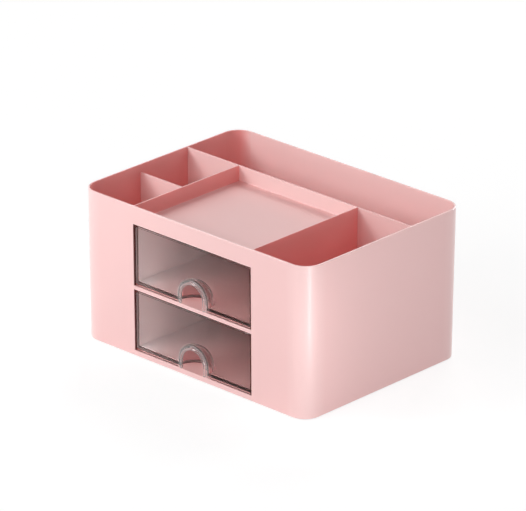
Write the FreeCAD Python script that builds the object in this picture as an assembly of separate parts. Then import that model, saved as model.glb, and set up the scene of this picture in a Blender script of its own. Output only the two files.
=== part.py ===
import FreeCAD, Part
import os

# Stationery drawer box: a drafted one-piece casing, a compartment insert dropped into it,
# a shelf between two clear drawers, a lift-out divider and four rubber feet.
# Millimetres. Z = 0 is the desk under the feet, X = 0 and Y = 0 are the middle of the
# casing, and the drawers open towards -Y.

# Casing
casing_width = 240.0
casing_depth = 177.2
casing_height = 125.5
corner_radius = 15.5
wall = 1.5
draft_per_mm = 0.010
rim_round_outside = 0.6
rim_round_inside = 0.4
bottom_round = 0.8
inside_foot_round = 1.5

# Feet and underside
foot_proud = 0.8
skirt_height = 2.2
foot_radius = 6.5
foot_round = 0.5
foot_place_x = 96.0
foot_place_y = 64.0
foot_ring_gap = 0.4
foot_ring_wall = 1.2
foot_ring_height = 1.0

# Drawer windows, stacked with a bar between them
floor_height = 4.4
window_width = 124.4
window_height = 51.4
window_round = 0.3
bar_height = 3.2

# Compartment insert
partition = 1.2
back_partition_front = 29.2
insert_below_rim = 0.5
tray_depth = 13.2
tray_foot_round = 0.6
insert_gap = 0.15
insert_top_round = 0.35
locating_rib_wall = 1.4
locating_rib_reach = 2.0
locating_rib_height = 92.0

# Shelf between the drawers
shelf_thickness = 2.0
shelf_gap = 0.15
rail_width = 2.0
rail_height = 1.2
ledge_depth = 2.4

# Lift-out divider in the left bay
divider_thickness = 1.5
divider_middle_y = -23.2
divider_below_rim = 6.5
divider_gap = 0.3
divider_top_round = 0.4
guide_wall = 1.3
guide_reach = 1.6
guide_height = 58.0
guide_gap = 0.2

# Drawers
drawer_gap = 0.5
drawer_wall = 1.8
panel_thickness = 2.0
panel_set_back = 0.3
panel_edge_round = 0.4
drawer_back_gap = 0.4
drawer_wall_below_panel = 2.0
drawer_floor_lift = 1.6
drawer_floor = 1.9
drawer_corner_round = 3.0
drawer_foot_round = 1.0
runner_width = 2.0
runner_place_x = 60.4
runner_end_gap = 6.0
slide_gap = 0.05

# Finger pull in the drawer's front
pull_centre_height = 7.0
hood_radius = 15.9
hood_wall = 1.5
lip_ring_radius = 12.4
lip_radius = 1.1
lip_set_back = 0.55
flare_overlap = 0.6

# Drawer stops
drawer_travel = 85.0
pip_place_x = 54.0
pip_length_x = 6.0
pip_height = 1.1
pip_top_length = 0.8
pip_ramp_length = 2.4
lug_front_y = 22.0
lug_length = 3.0
lug_floor_gap = 0.2

# Worked out from the above
base_z = foot_proud
rim_z = base_z + casing_height
floor_top = base_z + floor_height
floor_under = base_z + skirt_height
upper_bay_floor = floor_top + window_height + bar_height
insert_top = rim_z - insert_below_rim
tray_top = rim_z - tray_depth
tray_under = upper_bay_floor + window_height
bay_half = window_width / 2.0
partition_outside = bay_half + partition
back_partition_rear = back_partition_front + partition
shelf_under = upper_bay_floor - shelf_thickness
far = 20.0


def box(x_low, x_high, y_low, y_high, z_low, z_high):
    size = (x_high - x_low, y_high - y_low, z_high - z_low)
    return Part.makeBox(*size, FreeCAD.Vector(x_low, y_low, z_low))


def front_y(z, inset=0.0):
    """Where the drafted front lies at a height, moved inwards by the inset."""
    return -casing_depth / 2.0 + inset + draft_per_mm * (rim_z - z)


def side_x(z, inset=0.0):
    """Half the casing's width at a height, moved inwards by the inset."""
    return casing_width / 2.0 - inset - draft_per_mm * (rim_z - z)


def rounded_outline(half_x, half_y, radius, z):
    """A closed rounded rectangle: four straight edges joined by quarter arcs."""
    corners = [(1, 1), (-1, 1), (-1, -1), (1, -1)]
    bend = radius * (1.0 - 0.5 ** 0.5)
    arcs = []
    for index, (sx, sy) in enumerate(corners):
        on_side = FreeCAD.Vector(sx * half_x, sy * (half_y - radius), z)
        on_end = FreeCAD.Vector(sx * (half_x - radius), sy * half_y, z)
        middle = FreeCAD.Vector(sx * (half_x - bend), sy * (half_y - bend), z)
        first, last = (on_side, on_end) if index % 2 == 0 else (on_end, on_side)
        arcs.append((first, middle, last))
    edges = []
    for index, (first, middle, last) in enumerate(arcs):
        edges.append(Part.Arc(first, middle, last).toShape())
        next_first = arcs[(index + 1) % len(arcs)][0]
        edges.append(Part.LineSegment(last, next_first).toShape())
    return Part.Wire(edges)


def drafted_block(inset, z_low, z_high):
    """A block whose sides run parallel to the casing's outside."""
    outlines = []
    for z in (z_low, z_high):
        half_x = side_x(z, inset)
        half_y = -front_y(z, inset)
        radius = corner_radius - inset - draft_per_mm * (rim_z - z)
        outlines.append(rounded_outline(half_x, half_y, radius, z))
    return Part.makeLoft(outlines, True, True)


def edges_at_height(shape, z):
    chosen = []
    for edge in shape.Edges:
        low, high = edge.BoundBox.ZMin, edge.BoundBox.ZMax
        if abs(low - z) < 0.001 and abs(high - z) < 0.001:
            chosen.append(edge)
    return chosen


def casing_inside(gap):
    """The room inside the casing, drawn in by a gap from its walls but not from its floor."""
    room = drafted_block(wall + gap, floor_top, rim_z + far)
    return room.makeFillet(inside_foot_round, edges_at_height(room, floor_top))


def pip(centre_x, low_z):
    """A stop on a bay's floor: a ramp to ride over from the front, upright at the rear."""
    rear = lug_front_y - drawer_travel - 0.1
    outline = [
        (rear, low_z - 0.5),
        (rear, low_z + pip_height),
        (rear - pip_top_length, low_z + pip_height),
        (rear - pip_ramp_length, low_z),
        (rear - pip_ramp_length, low_z - 0.5),
    ]
    points = [FreeCAD.Vector(centre_x - pip_length_x / 2.0, y, z) for y, z in outline]
    face = Part.Face(Part.makePolygon(points + points[:1]))
    return face.extrude(FreeCAD.Vector(pip_length_x, 0, 0))


def make_outer_shell():
    shell = drafted_block(0.0, base_z, rim_z)
    shell = shell.makeFillet(bottom_round, edges_at_height(shell, base_z))
    shell = shell.cut(casing_inside(0.0))
    shell = round_rim(shell)
    shell = shell.cut(drafted_block(wall, base_z - far, floor_under))
    for window_low in (floor_top, upper_bay_floor):
        shell = shell.cut(make_window_cutter(window_low))
    shell = round_window_edges(shell)
    return finish_shell(shell)


def round_rim(shell):
    """Rounds the rim's outer edge, then its inner edge, which still lies at the rim's height."""
    rim_edges = edges_at_height(shell, rim_z)
    outside = [edge for edge in rim_edges if on_casing_outside(edge)]
    inside = [edge for edge in rim_edges if not on_casing_outside(edge)]
    shell = shell.makeFillet(rim_round_outside, outside)
    inside = [edge for edge in edges_at_height(shell, rim_z) if near_any(edge, inside)]
    return shell.makeFillet(rim_round_inside, inside)


def on_casing_outside(edge):
    """True for a rim edge that lies on the casing's outer outline."""
    point = edge.valueAt((edge.FirstParameter + edge.LastParameter) / 2.0)
    corner_x = casing_width / 2.0 - corner_radius
    corner_y = casing_depth / 2.0 - corner_radius
    past_x = abs(point.x) - corner_x
    past_y = abs(point.y) - corner_y
    if past_x > 0 and past_y > 0:
        reach = (past_x ** 2 + past_y ** 2) ** 0.5
    else:
        reach = max(past_x, past_y)
    return abs(reach - corner_radius) < 0.1


def near_any(edge, others):
    middle = edge.CenterOfMass
    return any((middle - other.CenterOfMass).Length < 0.5 for other in others)


def make_window_cutter(window_low):
    """One drawer window through the front wall, square to the drawer's travel."""
    front = front_y(floor_top) - far
    rear = front_y(floor_top, wall) + inside_foot_round + 0.1
    return box(-bay_half, bay_half, front, rear, window_low, window_low + window_height)


def round_window_edges(shell):
    """Eases the windows' edges on the casing's front face."""
    chosen = []
    for edge in shell.Edges:
        middle = edge.valueAt((edge.FirstParameter + edge.LastParameter) / 2.0)
        on_front = abs(middle.y - front_y(middle.z)) < 0.01
        if on_front and abs(middle.x) < bay_half + 0.01 and middle.z < tray_under + 0.01:
            chosen.append(edge)
    chosen = [edge for edge in chosen if edge.BoundBox.ZMin > floor_top - 0.01]
    return shell.makeFillet(window_round, chosen)


def finish_shell(shell):
    """Adds what is moulded on the plain shell: ledge, stops, ribs and foot rings."""
    additions = [make_bar_ledge(), *make_wall_guides(), *make_locating_ribs(), *make_foot_rings()]
    for sign in (-1, 1):
        additions.append(pip(sign * pip_place_x, floor_top))
    return shell.multiFuse(additions).removeSplitter()


def make_bar_ledge():
    """A ledge behind the bar between the windows, which carries the shelf's front edge."""
    bar_low = floor_top + window_height
    inside_front = front_y(bar_low, wall)
    half = bay_half - rail_width - 0.2
    return box(-half, half, inside_front - 1.0, inside_front + ledge_depth, bar_low, shelf_under)


def divider_guide_spans():
    """The two stretches along Y that the guide ribs take, one each side of the divider."""
    reach = divider_thickness / 2.0 + guide_gap
    rear = (divider_middle_y + reach, divider_middle_y + reach + guide_wall)
    front = (divider_middle_y - reach - guide_wall, divider_middle_y - reach)
    return (front, rear)


def make_wall_guides():
    guides = []
    inner = -side_x(floor_top, wall) + guide_reach
    for y_low, y_high in divider_guide_spans():
        outer = inner - guide_reach - 1.0
        guides.append(box(outer, inner, y_low, y_high, floor_top - 0.5, floor_top + guide_height))
    return guides


def make_locating_ribs():
    """Upright ribs on the side walls, which the insert's back partition stands against."""
    ribs = []
    y_low = back_partition_rear + insert_gap
    outer = side_x(floor_top, wall) + 1.0
    inner = side_x(floor_top, wall) - locating_rib_reach
    top = floor_top + locating_rib_height
    for x_low, x_high in ((-outer, -inner), (inner, outer)):
        ribs.append(box(x_low, x_high, y_low, y_low + locating_rib_wall, floor_top - 0.5, top))
    return ribs


def foot_places():
    return [(sx * foot_place_x, sy * foot_place_y) for sx in (-1, 1) for sy in (-1, 1)]


def make_foot_rings():
    rings = []
    inner = foot_radius + foot_ring_gap
    low = floor_under - foot_ring_height
    for x, y in foot_places():
        start = FreeCAD.Vector(x, y, low)
        ring = Part.makeCylinder(inner + foot_ring_wall, foot_ring_height + 0.5, start)
        ring = ring.cut(Part.makeCylinder(inner, foot_ring_height, start))
        rings.append(ring)
    return rings


def make_foot(x, y):
    """A rubber pad stuck under the floor, rounded where it meets the desk."""
    pad = Part.makeCylinder(foot_radius, floor_under, FreeCAD.Vector(x, y, 0))
    return pad.makeFillet(foot_round, edges_at_height(pad, 0.0))


def make_compartment_insert():
    front = front_y(floor_top) - far
    side = side_x(rim_z)
    plates = [
        box(-side, side, back_partition_front, back_partition_rear, floor_top, insert_top),
        box(-partition_outside, -bay_half, front, back_partition_rear, floor_top, insert_top),
        box(bay_half, partition_outside, front, back_partition_rear, floor_top, insert_top),
        make_tray_block(front),
    ]
    insert = plates[0].multiFuse(plates[1:])
    insert = insert.common(casing_inside(insert_gap)).removeSplitter()
    insert = round_partition_tops(insert)
    return insert.multiFuse(make_shelf_rails() + make_partition_guides()).removeSplitter()


def make_tray_block(front):
    """The tray's floor with its rounded foot, sunk between the three partitions."""
    block_top = tray_top + tray_foot_round + 1.0
    block = box(-bay_half - 1.0, bay_half + 1.0, front, back_partition_front + 1.0, tray_under, block_top)
    hollow = box(-bay_half, bay_half, front - far, back_partition_front, tray_top, rim_z + far)
    foot_edges = [edge for edge in edges_at_height(hollow, tray_top) if edge.BoundBox.YMax > front]
    return block.cut(hollow.makeFillet(tray_foot_round, foot_edges))


def round_partition_tops(insert):
    """Eases the long top edges of the partitions, clear of where they meet the casing."""
    chosen = [edge for edge in edges_at_height(insert, insert_top) if edge.Length > 10.0]
    return insert.makeFillet(insert_top_round, chosen)


def make_shelf_rails():
    rails = []
    front = front_y(shelf_under - rail_height, wall + insert_gap)
    rear = back_partition_front + 0.5
    for x_low, x_high in ((-bay_half - 0.5, rail_width - bay_half), (bay_half - rail_width, bay_half + 0.5)):
        rails.append(box(x_low, x_high, front, rear, shelf_under - rail_height, shelf_under))
    return rails


def make_partition_guides():
    guides = []
    for y_low, y_high in divider_guide_spans():
        x_low = -partition_outside - guide_reach
        top = floor_top + guide_height
        guides.append(box(x_low, -partition_outside + 0.5, y_low, y_high, floor_top, top))
    return guides


def make_drawer_shelf():
    half = bay_half - shelf_gap
    front = front_y(shelf_under, wall + shelf_gap)
    rear = back_partition_front - shelf_gap
    plate = box(-half, half, front, rear, shelf_under, upper_bay_floor)
    pips = [pip(sign * pip_place_x, upper_bay_floor) for sign in (-1, 1)]
    return plate.multiFuse(pips).removeSplitter()


def make_cross_divider():
    half = divider_thickness / 2.0
    y_low, y_high = divider_middle_y - half, divider_middle_y + half
    top = rim_z - divider_below_rim
    right = -partition_outside - divider_gap
    plate = box(-side_x(rim_z), right, y_low, y_high, floor_top, top)
    plate = plate.common(casing_inside(divider_gap)).removeSplitter()
    long_edges = [edge for edge in edges_at_height(plate, top) if edge.Length > 10.0]
    return plate.makeFillet(divider_top_round, long_edges)


def make_drawer_panel(bay_floor):
    """The drawer's front, parallel to the casing's draft and just behind its face."""
    low, high = bay_floor + drawer_gap, bay_floor + window_height - drawer_gap
    half = bay_half - drawer_gap
    outline = [
        (front_y(low, panel_set_back), low),
        (front_y(high, panel_set_back), high),
        (front_y(high, panel_set_back + panel_thickness), high),
        (front_y(low, panel_set_back + panel_thickness), low),
    ]
    points = [FreeCAD.Vector(-half, y, z) for y, z in outline]
    face = Part.Face(Part.makePolygon(points + points[:1]))
    panel = face.extrude(FreeCAD.Vector(2.0 * half, 0, 0))
    front_face = min(panel.Faces, key=lambda item: item.CenterOfMass.y)
    return panel.makeFillet(panel_edge_round, front_face.Edges)


def make_drawer_box(bay_floor):
    """Floor, side walls and rear wall, open at the top and behind the panel at the front."""
    half = bay_half - drawer_gap
    low = bay_floor + drawer_floor_lift
    top = bay_floor + window_height - drawer_gap - drawer_wall_below_panel
    front = front_y(low, panel_set_back + panel_thickness / 2.0)
    rear = back_partition_front - drawer_back_gap
    body = box(-half, half, front, rear, low, top)
    rear_edges = [edge for edge in body.Edges if is_upright(edge) and edge.CenterOfMass.y > rear - 1.0]
    body = body.makeFillet(drawer_corner_round, rear_edges)
    inside_front = front_y(low, panel_set_back + panel_thickness)
    hollow = box(-half + drawer_wall, half - drawer_wall, inside_front, rear - drawer_wall,
                 low + drawer_floor, top + far)
    upright = [edge for edge in hollow.Edges if is_upright(edge)]
    hollow = hollow.makeFillet(drawer_corner_round - drawer_wall, upright)
    hollow = hollow.makeFillet(drawer_foot_round, edges_at_height(hollow, low + drawer_floor))
    return body.cut(hollow)


def is_upright(edge):
    return edge.BoundBox.ZLength > 1.0 and edge.BoundBox.XLength < 0.01 and edge.BoundBox.YLength < 0.01


def pull_room(radius, centre_y, centre_z, low_z):
    """A quarter ball on a half round column, behind the panel: the shape under the hood."""
    centre = FreeCAD.Vector(0, centre_y, centre_z)
    ball = Part.makeSphere(radius, centre)
    column = Part.makeCylinder(radius, centre_z - low_z, FreeCAD.Vector(0, centre_y, low_z))
    behind = box(-radius - 1, radius + 1, centre_y, centre_y + radius + 1, low_z, centre_z + radius + 1)
    return ball.fuse(column).common(behind).removeSplitter()


def pull_outline(radius, y, centre_z, low_z):
    """A closed upright arch at one place along Y: two legs joined by half a circle."""
    left_foot = FreeCAD.Vector(-radius, y, low_z)
    left_spring = FreeCAD.Vector(-radius, y, centre_z)
    crown = FreeCAD.Vector(0, y, centre_z + radius)
    right_spring = FreeCAD.Vector(radius, y, centre_z)
    right_foot = FreeCAD.Vector(radius, y, low_z)
    edges = [
        Part.LineSegment(left_foot, left_spring).toShape(),
        Part.Arc(left_spring, crown, right_spring).toShape(),
        Part.LineSegment(right_spring, right_foot).toShape(),
        Part.LineSegment(right_foot, left_foot).toShape(),
    ]
    return Part.Wire(edges)


def flared_opening(lip_y, back_y, centre_z, low_z):
    """The arch through the panel, which widens from the lip to the room under the hood."""
    inner = hood_radius - hood_wall
    flare = (inner - lip_ring_radius) / (back_y - lip_y)
    front_radius = lip_ring_radius - flare * flare_overlap
    front = pull_outline(front_radius, lip_y - flare_overlap, centre_z, low_z)
    back = pull_outline(inner, back_y, centre_z, low_z)
    return Part.makeLoft([front, back], True, True)


def make_lip(lip_y, centre_z, low_z):
    """The full-round lip on the opening's front edge: half a ring on two straight legs."""
    centre = FreeCAD.Vector(0, lip_y, centre_z)
    ring = Part.makeTorus(lip_ring_radius, lip_radius, centre, FreeCAD.Vector(0, 1, 0))
    reach = lip_ring_radius + lip_radius + 1.0
    above = box(-reach, reach, lip_y - 3, lip_y + 3, centre_z, centre_z + reach)
    pieces = [ring.common(above)]
    for sign in (-1, 1):
        start = FreeCAD.Vector(sign * lip_ring_radius, lip_y, low_z)
        pieces.append(Part.makeCylinder(lip_radius, centre_z - low_z, start))
    return pieces[0].multiFuse(pieces[1:])


def make_drawer(bay_floor):
    panel_low = bay_floor + drawer_gap
    floor_low = bay_floor + drawer_floor_lift
    centre_z = bay_floor + pull_centre_height
    panel_back = front_y(centre_z, panel_set_back + panel_thickness)
    lip_y = front_y(centre_z, lip_set_back)
    hood = pull_room(hood_radius, panel_back - 0.5, centre_z, floor_low)
    drawer = make_drawer_box(bay_floor).multiFuse([make_drawer_panel(bay_floor), hood])
    cavity = pull_room(hood_radius - hood_wall, panel_back, centre_z, panel_low - 1.0)
    opening = flared_opening(lip_y, panel_back, centre_z, panel_low - 1.0)
    drawer = drawer.cut(cavity).cut(opening)
    additions = [make_lip(lip_y, centre_z, panel_low)]
    additions += make_runners(bay_floor) + make_stop_lugs(bay_floor)
    return drawer.multiFuse(additions).removeSplitter()


def make_runners(bay_floor):
    low, high = bay_floor + slide_gap, bay_floor + drawer_floor_lift + 0.3
    y_low = front_y(low, panel_set_back + panel_thickness) + runner_end_gap
    y_high = back_partition_front - drawer_back_gap - runner_end_gap
    half = runner_width / 2.0
    runners = []
    for sign in (-1, 1):
        x = sign * runner_place_x
        runners.append(box(x - half, x + half, y_low, y_high, low, high))
    return runners


def make_stop_lugs(bay_floor):
    """Lugs under the drawer's rear, which meet the stops when it is fully out."""
    lugs = []
    low, high = bay_floor + lug_floor_gap, bay_floor + drawer_floor_lift + 0.3
    half = pip_length_x / 2.0 - 1.0
    for sign in (-1, 1):
        x = sign * pip_place_x
        lugs.append(box(x - half, x + half, lug_front_y, lug_front_y + lug_length, low, high))
    return lugs


def make_all():
    pieces = {
        "outer_shell": make_outer_shell(),
        "compartment_insert": make_compartment_insert(),
        "drawer_shelf": make_drawer_shelf(),
        "cross_divider": make_cross_divider(),
        "lower_drawer": make_drawer(floor_top),
        "upper_drawer": make_drawer(upper_bay_floor),
    }
    names = ("front_left", "rear_left", "front_right", "rear_right")
    for name, (x, y) in zip(names, foot_places()):
        pieces["foot_" + name] = make_foot(x, y)
    return pieces


os.makedirs("parts", exist_ok=True)
for node, shape in make_all().items():
    solids = shape.Solids
    print(node, "solids", len(solids), "valid", shape.isValid(), "volume", round(shape.Volume, 1))
    solids[0].exportStep("parts/" + node + ".step")
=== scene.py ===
import math
import bpy
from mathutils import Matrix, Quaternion, Vector


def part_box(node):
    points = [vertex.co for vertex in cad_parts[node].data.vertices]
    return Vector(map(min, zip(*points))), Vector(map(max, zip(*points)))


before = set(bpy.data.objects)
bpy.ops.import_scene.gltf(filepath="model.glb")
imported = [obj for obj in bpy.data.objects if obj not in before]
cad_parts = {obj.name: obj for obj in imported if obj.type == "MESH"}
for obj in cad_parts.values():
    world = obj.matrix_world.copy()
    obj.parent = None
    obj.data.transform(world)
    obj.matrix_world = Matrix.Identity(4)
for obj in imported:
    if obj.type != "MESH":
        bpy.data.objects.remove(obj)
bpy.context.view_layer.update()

# Camera: stands to the right of the box's front and looks down on it through a long lens,
# from the place where the casing's edges run as they do in the product picture.
millimetre = 0.001
casing_off_desk = 0.8 * millimetre
camera_place = (2.35408, -2.50057, 1.51834 + casing_off_desk)
towards_camera = Vector((0.63316, -0.67013, 0.38733))
camera_roll = math.radians(0.1421)

camera_data = bpy.data.cameras.new("product_camera")
camera_data.sensor_width = 36.0
camera_data.lens = 329.52
camera_data.clip_end = 20.0
camera = bpy.data.objects.new("product_camera", camera_data)
camera.location = camera_place
level = towards_camera.to_track_quat("Z", "Y")
camera.rotation_euler = (level @ Quaternion((0, 0, 1), camera_roll)).to_euler()
bpy.context.scene.collection.objects.link(camera)
bpy.context.scene.camera = camera
bpy.context.scene.view_settings.view_transform = "Standard"

# Studio: a sheet of white card under the box and a white room around it. The card takes the
# box's shadow, and it glows a little where it is looked at, so that it comes out white. Light
# bounces often enough to deepen the pink inside the bays.
card_reach = 6.0
card_z = -0.05 * millimetre
card_white = (0.80, 0.80, 0.80, 1.0)
card_seen_white = (0.30, 0.30, 0.30, 1.0)
card_glow = 0.80
room_white = 1.0
room_fill = 0.03
bounces_off_matt_walls = 10
bounces_in_all = 20


def new_material(name):
    """An empty material with its output node, to which a section adds its own shader."""
    material = bpy.data.materials.new(name)
    material.use_nodes = True
    tree = material.node_tree
    tree.nodes.clear()
    output = tree.nodes.new("ShaderNodeOutputMaterial")
    return material, tree.nodes, tree.links, output


def worked_out(nodes, links, operation, *values):
    """One sum on fixed numbers or other nodes' outputs, such as the larger of two."""
    node = nodes.new("ShaderNodeMath")
    node.operation = operation
    for socket, value in zip(node.inputs, values):
        if isinstance(value, float):
            socket.default_value = value
        else:
            links.new(value, socket)
    return node.outputs[0]


def seen_by_eye(nodes, links):
    """One for rays from the camera, a mirror or a clear wall, and zero for all other rays."""
    path = nodes.new("ShaderNodeLightPath").outputs
    mirrored = worked_out(nodes, links, "MAXIMUM", path["Is Camera Ray"], path["Is Glossy Ray"])
    return worked_out(nodes, links, "MAXIMUM", mirrored, path["Is Transmission Ray"])


def mixed_shader(nodes, links, factor, first, second):
    """Two shaders mixed by a factor: zero gives the first one and one gives the second."""
    mix = nodes.new("ShaderNodeMixShader")
    for socket, source in zip(mix.inputs, (factor, first, second)):
        links.new(source, socket)
    return mix.outputs[0]


def diffuse(nodes, colour):
    """A matt shader in one colour."""
    shader = nodes.new("ShaderNodeBsdfDiffuse")
    shader.inputs["Color"].default_value = colour
    return shader.outputs[0]


corners = [(-card_reach, -card_reach, card_z), (card_reach, -card_reach, card_z)]
corners += [(card_reach, card_reach, card_z), (-card_reach, card_reach, card_z)]
card_mesh = bpy.data.meshes.new("studio_card")
card_mesh.from_pydata(corners, [], [(0, 1, 2, 3)])
card = bpy.data.objects.new("studio_card", card_mesh)
bpy.context.scene.collection.objects.link(card)
material, nodes, links, output = new_material("white_card")
glow = nodes.new("ShaderNodeEmission")
glow.inputs["Strength"].default_value = card_glow
seen_card = nodes.new("ShaderNodeAddShader")
links.new(diffuse(nodes, card_seen_white), seen_card.inputs[0])
links.new(glow.outputs[0], seen_card.inputs[1])
paper = diffuse(nodes, card_white)
whole_card = mixed_shader(nodes, links, seen_by_eye(nodes, links), paper, seen_card.outputs[0])
links.new(whole_card, output.inputs["Surface"])
card_mesh.materials.append(material)

world = bpy.data.worlds.new("white_room")
bpy.context.scene.world = world
world.use_nodes = True
nodes, links = world.node_tree.nodes, world.node_tree.links
nodes.clear()
walls = []
for strength in (room_fill, room_white):
    background = nodes.new("ShaderNodeBackground")
    background.inputs["Color"].default_value = (1, 1, 1, 1)
    background.inputs["Strength"].default_value = strength
    walls.append(background.outputs[0])
output = nodes.new("ShaderNodeOutputWorld")
room = mixed_shader(nodes, links, seen_by_eye(nodes, links), *walls)
links.new(room, output.inputs["Surface"])

bpy.context.scene.cycles.diffuse_bounces = bounces_off_matt_walls
bpy.context.scene.cycles.max_bounces = bounces_in_all

# Lamps: ten softboxes stand round the box, each at an azimuth from its front, positive to its
# right, and at a height angle. The low ones stand beside the card and light the outer walls.
# Three small lamps close by make the light fall off along the front and right walls.
lit_middle = Vector((0, 0, 60.0 * millimetre))
large_far_box = (2.8, 0.9, 0.8)
low_box = (1.8, 0.5, 0.26)
small_low_box = (1.8, 0.3, 0.2)
softboxes = (
    ("front_softbox", -8, 26, large_far_box, 14.0),
    ("front_left_softbox", -32, 27, large_far_box, 18.0),
    ("left_softbox", -47, 40, large_far_box, 12.0),
    ("rear_left_softbox", -148, 48, large_far_box, 16.0),
    ("rear_softbox", 170, 42, large_far_box, 13.0),
    ("right_softbox", 55, 26, large_far_box, 3.8),
    ("low_right_softbox", 72, 2, small_low_box, 3.4),
    ("low_corner_softbox", 50, 5, low_box, 2.1),
    ("low_left_softbox", -90, 5, low_box, 2.0),
    ("low_rear_softbox", 180, 6, low_box, 5.0),
)
near_lamps = (
    ("corner_strip", (0.18, -0.11, 0.075), (0.12, -0.09, 0.07), (0.02, 0.1), 0.023),
    ("near_front_lamp", (-0.2, -0.34, 0.2), (-0.1, -0.09, 0.08), (0.12, 0.12), 0.2),
    ("near_right_lamp", (0.33, 0.0, 0.16), (0.12, 0.0, 0.1), (0.12, 0.12), 0.077),
)


def add_lamp(name, place, target, wide, tall, watts):
    """A flat lamp that stands at a place and faces a target."""
    light = bpy.data.lights.new(name, "AREA")
    light.shape = "RECTANGLE"
    light.size, light.size_y = wide, tall
    light.energy = watts
    lamp = bpy.data.objects.new(name, light)
    lamp.location = place
    lamp.rotation_euler = (Vector(place) - Vector(target)).to_track_quat("Z", "Y").to_euler()
    bpy.context.scene.collection.objects.link(lamp)
    return lamp


for name, azimuth, height, (distance, wide, tall), watts in softboxes:
    turn, rise = math.radians(azimuth), math.radians(height)
    across = math.cos(rise)
    direction = Vector((math.sin(turn) * across, -math.cos(turn) * across, math.sin(rise)))
    add_lamp(name, lit_middle + direction * distance, lit_middle, wide, tall, watts)
for name, place, target, (wide, tall), watts in near_lamps:
    add_lamp(name, place, target, wide, tall, watts).visible_camera = False

# Casing: one injection moulding in pink ABS. Its outer skin has a fine spark-eroded satin
# grain that scatters white light; inside, faces turned to the right get a deeper painted shade.
# The upright corners are painted pale, a painted highlight, and the narrow faces round the
# drawers' windows are painted dark, a painted shadow in the gap.
casing_half_length = 120.0 * millimetre
casing_half_depth = 88.6 * millimetre
outside_pink = (0.95, 0.575, 0.562, 1.0)
inside_pink = (0.97, 0.69, 0.675, 1.0)
skin_changes_over = 0.25
# The deeper pink that inner faces turned to the right mix towards, a painted shade; inside_pink is
# the lit copy.
painted_shade_pink = (0.96, 0.345, 0.33, 1.0)
painted_shade_towards = (1.5, 0.0, 0.3)
# A pale pink for the upright corners, a painted highlight.
painted_highlight_pink = (1.0, 0.67, 0.655, 1.0)
highlight_near = 5.0 * millimetre
highlight_far = 22.0 * millimetre
# A dark brown for the gap round the drawers' windows, a painted shadow.
painted_gap_shadow = (0.22, 0.06, 0.055, 1.0)
gap_half_from = 62.4 * millimetre
gap_half_to = 62.6 * millimetre
gap_back_from_y = -86.6 * millimetre
gap_back_to_y = -86.2 * millimetre
gap_upward_from = 0.3
gap_upward_to = 0.6
faces_along = 0.8
faces_aside = 0.5
noise_low = 0.3
noise_high = 0.7
flow_mark_scale = 22.0
flow_mark_detail = 2.0
flow_mark_share = 0.05
flow_mark_pink = (1.0, 0.93, 0.92, 1.0)
satin_patch_scale = 60.0
satin_patch_detail = 3.0
satin_low = 0.46
satin_high = 0.53
satin_ior = 1.6
satin_coat_rough = 0.28
casing_gloss = 0.9
casing_coat = 1.0
spark_grain_scale = 2600.0
grain_detail = 3.0
grain_roughness = 0.6
spark_grain_strength = 0.35
spark_grain_depth = 0.02 * millimetre


def grain_noise(nodes, links, place, scale, detail, roughness=0.5):
    """A noise over the piece, read in its own metres so that the grain moves with it."""
    noise = nodes.new("ShaderNodeTexNoise")
    noise.inputs["Scale"].default_value = scale
    noise.inputs["Detail"].default_value = detail
    noise.inputs["Roughness"].default_value = roughness
    links.new(place, noise.inputs["Vector"])
    return noise.outputs["Fac"]


def between(nodes, links, value, from_low, from_high, to_low=0.0, to_high=1.0):
    """The value moved from one range into another and held inside it."""
    mapped = nodes.new("ShaderNodeMapRange")
    mapped.inputs["From Min"].default_value = from_low
    mapped.inputs["From Max"].default_value = from_high
    mapped.inputs["To Min"].default_value = to_low
    mapped.inputs["To Max"].default_value = to_high
    links.new(value, mapped.inputs["Value"])
    return mapped.outputs["Result"]


def product(nodes, links, *factors):
    """The factors multiplied together."""
    total = factors[0]
    for factor in factors[1:]:
        total = worked_out(nodes, links, "MULTIPLY", total, factor)
    return total


def on_vector(nodes, links, operation, vector, fixed, result):
    """One step on a vector with a fixed one, such as the distance from a point."""
    node = nodes.new("ShaderNodeVectorMath")
    node.operation = operation
    links.new(vector, node.inputs[0])
    if isinstance(fixed, tuple):
        node.inputs[1].default_value = fixed
    elif fixed is not None:
        links.new(fixed, node.inputs[1])
    return node.outputs[result]


def split(nodes, links, vector):
    """A vector's outputs along X, Y and Z."""
    parts = nodes.new("ShaderNodeSeparateXYZ")
    links.new(vector, parts.inputs[0])
    return parts.outputs


def turned_off(nodes, links, facing):
    """One where a face looks well away from an axis, and zero where it looks along it."""
    along = worked_out(nodes, links, "ABSOLUTE", facing)
    return between(nodes, links, along, faces_along, faces_aside)


def mixed_colour(nodes, links, factor, first, second, blend="MIX"):
    """Two colours mixed by a factor; each is a fixed colour or another node's output."""
    mix = nodes.new("ShaderNodeMix")
    mix.data_type = "RGBA"
    mix.blend_type = blend
    links.new(factor, mix.inputs[0])
    for slot, colour in ((6, first), (7, second)):
        if isinstance(colour, tuple):
            mix.inputs[slot].default_value = colour
        else:
            links.new(colour, mix.inputs[slot])
    return mix.outputs[2]


def add_bump(nodes, links, shader, grain, strength, depth):
    """Raises the grain on the shader's surface."""
    bump = nodes.new("ShaderNodeBump")
    bump.inputs["Strength"].default_value = strength
    bump.inputs["Distance"].default_value = depth
    links.new(grain, bump.inputs["Height"])
    links.new(bump.outputs[0], shader.inputs["Normal"])


def facing_inwards(nodes, links, place, normal):
    """One where a face looks at the box's middle axis, and zero where it looks away."""
    to_unit = (1.0 / casing_half_length, 1.0 / casing_half_depth, 0.0)
    from_axis = on_vector(nodes, links, "MULTIPLY", place, to_unit, "Vector")
    outwards = on_vector(nodes, links, "DOT_PRODUCT", from_axis, normal, "Value")
    return between(nodes, links, outwards, skin_changes_over, -skin_changes_over)


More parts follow.
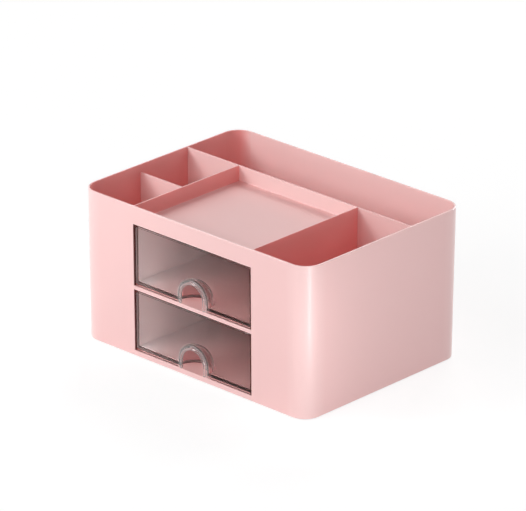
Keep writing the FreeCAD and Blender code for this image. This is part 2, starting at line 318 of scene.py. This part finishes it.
def painted_corner_highlight(nodes, links, place):
    """One on the four rounded upright corners, where the skin gets a pale painted highlight."""
    one_quarter = on_vector(nodes, links, "ABSOLUTE", place, None, "Vector")
    seen_from_above = on_vector(nodes, links, "MULTIPLY", one_quarter, (1.0, 1.0, 0.0), "Vector")
    corner = (casing_half_length, casing_half_depth, 0.0)
    away = on_vector(nodes, links, "DISTANCE", seen_from_above, corner, "Value")
    return between(nodes, links, away, highlight_far, highlight_near)


def window_gap_shadow(nodes, links, place, normal):
    """One on the narrow faces round the drawers' windows, where the gap gets a dark painted shadow.
    """
    part = split(nodes, links, place)
    aside = worked_out(nodes, links, "ABSOLUTE", part["X"])
    across = between(nodes, links, aside, gap_half_to, gap_half_from)
    depth = between(nodes, links, part["Y"], gap_back_to_y, gap_back_from_y)
    facing = split(nodes, links, normal)
    sideways = turned_off(nodes, links, facing["Y"])
    not_upwards = between(nodes, links, facing["Z"], gap_upward_to, gap_upward_from)
    return product(nodes, links, across, depth, sideways, not_upwards)


def pink_plastic(name, gloss, coat, skin):
    """Satin pink ABS with painted shade, deeper on faces turned to the right; skin adds the
    casing's outside.
    """
    material, nodes, links, output = new_material(name)
    source = nodes.new("ShaderNodeTexCoord")
    place, normal = source.outputs["Object"], source.outputs["Normal"]
    # Painted shade: the more a face turns to the right, the deeper its pink is painted.
    turned = on_vector(nodes, links, "DOT_PRODUCT", normal, painted_shade_towards, "Value")
    painted_shade = between(nodes, links, turned, 0.0, 1.0)
    pink = mixed_colour(nodes, links, painted_shade, inside_pink, painted_shade_pink)
    if skin:
        inside = facing_inwards(nodes, links, place, normal)
        pink = mixed_colour(nodes, links, inside, outside_pink, pink)
        outside = between(nodes, links, inside, 0.0, 1.0, 1.0, 0.0)
        # Painted highlight: the outer skin goes pale within a short way of each upright corner.
        painted_highlight = product(nodes, links, outside, painted_corner_highlight(nodes, links, place))
        pink = mixed_colour(nodes, links, painted_highlight, pink, painted_highlight_pink)
        # Painted shadow: the narrow faces in the gap round the drawers' windows go dark brown.
        gap_shadow = window_gap_shadow(nodes, links, place, normal)
        pink = mixed_colour(nodes, links, gap_shadow, pink, painted_gap_shadow)
    shader = nodes.new("ShaderNodeBsdfPrincipled")
    flow = grain_noise(nodes, links, place, flow_mark_scale, flow_mark_detail)
    flow_marks = between(nodes, links, flow, noise_low, noise_high, 0.0, flow_mark_share)
    shade = mixed_colour(nodes, links, flow_marks, pink, flow_mark_pink, "MULTIPLY")
    links.new(shade, shader.inputs["Base Color"])
    patchy = grain_noise(nodes, links, place, satin_patch_scale, satin_patch_detail)
    satin = between(nodes, links, patchy, noise_low, noise_high, satin_low, satin_high)
    links.new(satin, shader.inputs["Roughness"])
    shader.inputs["Specular IOR Level"].default_value = gloss
    shader.inputs["IOR"].default_value = satin_ior
    shader.inputs["Coat Weight"].default_value = coat
    shader.inputs["Coat Roughness"].default_value = satin_coat_rough
    spark_grain = grain_noise(nodes, links, place, spark_grain_scale, grain_detail, grain_roughness)
    add_bump(nodes, links, shader, spark_grain, spark_grain_strength, spark_grain_depth)
    links.new(shader.outputs[0], output.inputs["Surface"])
    return material


def finish_node(name, material):
    """The material goes on the CAD piece in place of its plain one."""
    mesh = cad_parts[name].data
    mesh.materials.clear()
    mesh.materials.append(material)


casing_pink = pink_plastic("casing_pink_satin", casing_gloss, casing_coat, True)
finish_node("outer_shell", casing_pink)

# Insert, shelf and divider: three mouldings in the same pink ABS, with less sheen than the
# casing's skin. The insert and shelf are fixed inside the casing, and the divider lifts out.
inner_gloss = 0.5
inner_coat = 0.3

# The insert, shelf and divider get the same painted shade on faces turned to the right.
inner_pink = pink_plastic("insert_pink_satin", inner_gloss, inner_coat, False)
for name in ("compartment_insert", "drawer_shelf", "cross_divider"):
    finish_node(name, inner_pink)

# Drawers: each is one clear moulding in lightly smoked styrene that slides in its window. The
# front panel and the hooded finger pull are polished, and the pull's rim gets a white painted
# highlight. The tray behind them is lightly frosted on its inner faces; the frost grows towards
# the left, where it paints pale light. The panel's cut edges are painted dark, a painted shade.
panel_back_y = -84.5 * millimetre
panel_fades_over = 1.0 * millimetre
pull_height_over_base = 6.65 * millimetre
pull_clear_radius = 16.2 * millimetre
pull_fades_over = 0.5 * millimetre
polished_rough = 0.02
tray_rough = 0.3
clear_ior = 1.5
shine_off_pull = 1.2
shine_on_pull = 1.8
hood_tint = (0.84, 0.62, 0.62, 1)
# The share of white painted highlight on the finger pull's edge-on faces.
pull_painted_rim = 0.8
painted_rim_blend = 0.15
haze_from_x = 20.0 * millimetre
haze_growth = 2.0
tray_left_x = -61.0 * millimetre
haze_middle = 0.03
# The haze share on the left wall is partly frost and partly painted light.
left_haze_painted_light = 0.66
haze_on_floor = 0.6
haze_floor_from_wall = 20.0 * millimetre
floor_steep_from = 0.3
floor_steep_to = 0.7
inner_face_from = 0.2
inner_face_to = 0.5
haze_and_highlight_white = (0.9, 0.9, 0.9, 1)
# A dark brown for the drawers' cut edges, a painted shade.
painted_edge_shade = (0.12, 0.02, 0.018, 1)
edge_share = 0.8
edge_fades_over = 0.2 * millimetre
edge_from_x = 16.5 * millimetre
edge_starts_over = 0.5 * millimetre
border_from_x = 61.0 * millimetre
floor_edge_height = 2.0 * millimetre
shadow_tint = (0.95, 0.95, 0.95, 1)
smoke_colour = (0.62, 0.43, 0.41, 1)
smoke_density = 110.0


def frost_with_painted_light(nodes, links, place, frosted):
    """The share of frost on the tray's inner faces, none on the right and most on the left wall,
    where it paints pale light.
    """
    part = split(nodes, links, place)
    leftwards = between(nodes, links, part["X"], haze_from_x, tray_left_x)
    growth = worked_out(nodes, links, "POWER", leftwards, haze_growth)
    share = between(nodes, links, growth, 0.0, 1.0, haze_middle, left_haze_painted_light)
    facing = split(nodes, links, nodes.new("ShaderNodeTexCoord").outputs["Normal"])
    steep = worked_out(nodes, links, "ABSOLUTE", facing["Z"])
    flat = between(nodes, links, steep, floor_steep_from, floor_steep_to)
    off_wall = between(nodes, links, part["X"], tray_left_x, tray_left_x + haze_floor_from_wall)
    on_floor = product(nodes, links, flat, off_wall)
    floor_share = between(nodes, links, on_floor, 0.0, 1.0, 1.0, haze_on_floor)
    inwards = worked_out(nodes, links, "MAXIMUM", facing["X"], facing["Z"])
    inner_face = between(nodes, links, inwards, inner_face_from, inner_face_to)
    return product(nodes, links, frosted, share, floor_share, inner_face)


def painted_dark_edges(nodes, links, place, pull_z, from_pull):
    """The share of painted dark shade on the panel's cut edges and on the floor's cut edge at the
    pull.
    """
    part = split(nodes, links, place)
    facing = split(nodes, links, nodes.new("ShaderNodeTexCoord").outputs["Normal"])
    sideways = turned_off(nodes, links, facing["Y"])
    upright = turned_off(nodes, links, facing["Z"])
    in_panel = between(nodes, links, part["Y"], panel_back_y + edge_fades_over, panel_back_y)
    aside = worked_out(nodes, links, "ABSOLUTE", part["X"])
    edge_starts = (edge_from_x, edge_from_x + edge_starts_over)
    beside_pull = between(nodes, links, aside, *edge_starts, 0.0, edge_share)
    border_starts = (border_from_x, border_from_x + edge_fades_over)
    border = between(nodes, links, aside, *border_starts, 0.0, edge_share)
    long_edges = product(nodes, links, sideways, beside_pull)
    either = worked_out(nodes, links, "MAXIMUM", long_edges, border)
    on_panel = product(nodes, links, in_panel, either)
    pull_ends = (pull_clear_radius, pull_clear_radius - edge_fades_over)
    close = between(nodes, links, from_pull, *pull_ends)
    floor_z = pull_z - pull_height_over_base + floor_edge_height
    low = between(nodes, links, part["Z"], floor_z + edge_fades_over, floor_z)
    past_panel = between(nodes, links, in_panel, 0.0, 1.0, edge_share, 0.0)
    floor_cut = product(nodes, links, close, low, past_panel, upright)
    return worked_out(nodes, links, "MAXIMUM", on_panel, floor_cut)


def clear_styrene(nodes, links, frosted, off_pull, on_hood):
    """Bent and mirrored light; it mirrors more strongly on the finger pull's thick walls."""
    rough = between(nodes, links, frosted, 0.0, 1.0, polished_rough, tray_rough)
    bent = nodes.new("ShaderNodeBsdfRefraction")
    bent.inputs["IOR"].default_value = clear_ior
    tint = mixed_colour(nodes, links, on_hood, (1, 1, 1, 1), hood_tint)
    links.new(tint, bent.inputs["Color"])
    links.new(rough, bent.inputs["Roughness"])
    mirror = nodes.new("ShaderNodeBsdfAnisotropic")
    links.new(rough, mirror.inputs["Roughness"])
    from_within = nodes.new("ShaderNodeNewGeometry").outputs["Backfacing"]
    pull_shine = between(nodes, links, from_within, 0.0, 1.0, shine_on_pull, clear_ior)
    shine = nodes.new("ShaderNodeMapRange")
    links.new(off_pull, shine.inputs["Value"])
    links.new(pull_shine, shine.inputs["To Min"])
    shine.inputs["To Max"].default_value = shine_off_pull
    fresnel = nodes.new("ShaderNodeFresnel")
    links.new(shine.outputs["Result"], fresnel.inputs["IOR"])
    return mixed_shader(nodes, links, fresnel.outputs[0], bent.outputs[0], mirror.outputs[0])


def smoked_plastic(name, pull_z):
    """One drawer's plastic: clear, frosted or dark by where it is, and smoked all through."""
    material, nodes, links, output = new_material(name)
    place = nodes.new("ShaderNodeTexCoord").outputs["Object"]
    y = split(nodes, links, place)["Y"]
    behind_panel = between(nodes, links, y, panel_back_y, panel_back_y + panel_fades_over)
    pull_middle = (0.0, panel_back_y, pull_z)
    from_pull = on_vector(nodes, links, "DISTANCE", place, pull_middle, "Value")
    pull_ends = (pull_clear_radius, pull_clear_radius + pull_fades_over)
    off_pull = between(nodes, links, from_pull, *pull_ends)
    on_pull = between(nodes, links, off_pull, 0.0, 1.0, 1.0, 0.0)
    frosted = product(nodes, links, behind_panel, off_pull)
    on_hood = product(nodes, links, behind_panel, on_pull)
    clear = clear_styrene(nodes, links, frosted, off_pull, on_hood)
    # Painted highlight: a white matt rim where the pull's faces turn edge-on.
    rim_facing = nodes.new("ShaderNodeLayerWeight")
    rim_facing.inputs["Blend"].default_value = painted_rim_blend
    painted_rim_share = between(nodes, links, off_pull, 0.0, 1.0, pull_painted_rim, 0.0)
    painted_rim_highlight = product(nodes, links, rim_facing.outputs["Facing"], painted_rim_share)
    # Frost with painted light: the white haze grows to the left to paint the pale light there.
    frost_share_with_light = frost_with_painted_light(nodes, links, place, frosted)
    haze_and_painted_highlight = worked_out(nodes, links, "ADD", frost_share_with_light, painted_rim_highlight)
    hazy_and_highlighted = mixed_shader(nodes, links, haze_and_painted_highlight, clear, diffuse(nodes, haze_and_highlight_white))
    # Painted shade: the panel's cut edges and the floor's cut edge at the pull go dark brown.
    painted_dark = painted_dark_edges(nodes, links, place, pull_z, from_pull)
    edged = mixed_shader(nodes, links, painted_dark, hazy_and_highlighted, diffuse(nodes, painted_edge_shade))
    through = nodes.new("ShaderNodeBsdfTransparent")
    through.inputs["Color"].default_value = shadow_tint
    in_shadow = nodes.new("ShaderNodeLightPath").outputs["Is Shadow Ray"]
    surface = mixed_shader(nodes, links, in_shadow, edged, through.outputs[0])
    links.new(surface, output.inputs["Surface"])
    smoke = nodes.new("ShaderNodeVolumeAbsorption")
    smoke.inputs["Color"].default_value = smoke_colour
    smoke.inputs["Density"].default_value = smoke_density
    links.new(smoke.outputs[0], output.inputs["Volume"])
    return material


for name in ("upper_drawer", "lower_drawer"):
    base_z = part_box(name)[0][2]
    finish_node(name, smoked_plastic(name + "_smoked", base_z + pull_height_over_base))

# Feet: four round pads of soft white rubber, each glued under the casing inside a moulded
# ring. The rubber is matt and finely pitted, and it has picked up a little grey dust.
rubber_white = (0.80, 0.78, 0.76, 1.0)
rubber_dusty = (0.62, 0.60, 0.58, 1.0)
dust_scale = 300.0
dust_detail = 4.0
dust_from = 0.45
dust_to = 0.75
pit_scale = 2500.0
pit_strength = 0.3
pit_depth = 0.03 * millimetre
rubber_rough_low = 0.62
rubber_rough_high = 0.8

material, nodes, links, output = new_material("foot_rubber")
place = nodes.new("ShaderNodeTexCoord").outputs["Object"]
shader = nodes.new("ShaderNodeBsdfPrincipled")
dusty = grain_noise(nodes, links, place, dust_scale, dust_detail)
dust = between(nodes, links, dusty, dust_from, dust_to)
rubber = mixed_colour(nodes, links, dust, rubber_white, rubber_dusty)
links.new(rubber, shader.inputs["Base Color"])
pits = grain_noise(nodes, links, place, pit_scale, grain_detail, grain_roughness)
matt = between(nodes, links, pits, noise_low, noise_high, rubber_rough_low, rubber_rough_high)
links.new(matt, shader.inputs["Roughness"])
add_bump(nodes, links, shader, pits, pit_strength, pit_depth)
links.new(shader.outputs[0], output.inputs["Surface"])
for name in ("foot_front_left", "foot_rear_left", "foot_front_right", "foot_rear_right"):
    finish_node(name, material)
